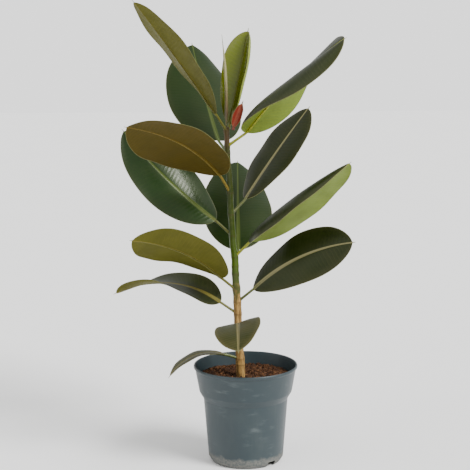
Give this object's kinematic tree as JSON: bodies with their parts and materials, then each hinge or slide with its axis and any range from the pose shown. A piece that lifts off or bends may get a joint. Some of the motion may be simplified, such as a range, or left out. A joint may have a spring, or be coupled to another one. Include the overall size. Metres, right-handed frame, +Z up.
{
  "type": "potted rubber plant",
  "caption": "Potted rubber plant: an upright stem with broad glossy leaves and a half-rolled new leaf, growing in a round plastic nursery pot.",
  "frame": {"origin": "middle of the pot's underside, which stands on the ground", "axes": "+Z up; -Y is the front; +X is to the right seen from the front"},
  "size_m": [0.3903, 0.375, 0.7529],
  "materials": {
    "pot_plastic": "slate blue-grey moulded plastic, slightly scuffed, with pale lime marks near the foot",
    "potting_mix": "coarse dark red-brown peat and coir",
    "stem_bark": "tan bark low down, smooth green higher up",
    "leaf_green": "thick glossy dark green leaf with a paler underside",
    "new_leaf_green": "very glossy bright olive-green young leaf",
    "bud_cream": "thin pale cream bud sheath, pinkish at its foot",
    "sheath_red": "glossy red-pink leaf sheath"
  },
  "bodies": {
    "root": {"pot": "pot_plastic", "soil": "potting_mix", "stem": "stem_bark", "leaf_01": "leaf_green", "leaf_02": "leaf_green", "leaf_03": "leaf_green", "leaf_04": "leaf_green", "leaf_05": "leaf_green", "leaf_06": "leaf_green", "leaf_07": "leaf_green", "leaf_08": "leaf_green", "leaf_09": "leaf_green", "leaf_10": "leaf_green", "leaf_11": "leaf_green", "leaf_12": "leaf_green", "leaf_13": "leaf_green", "new_leaf": "new_leaf_green", "bud_sheath": "bud_cream", "red_sheath": "sheath_red"}
  },
  "joints": []
}
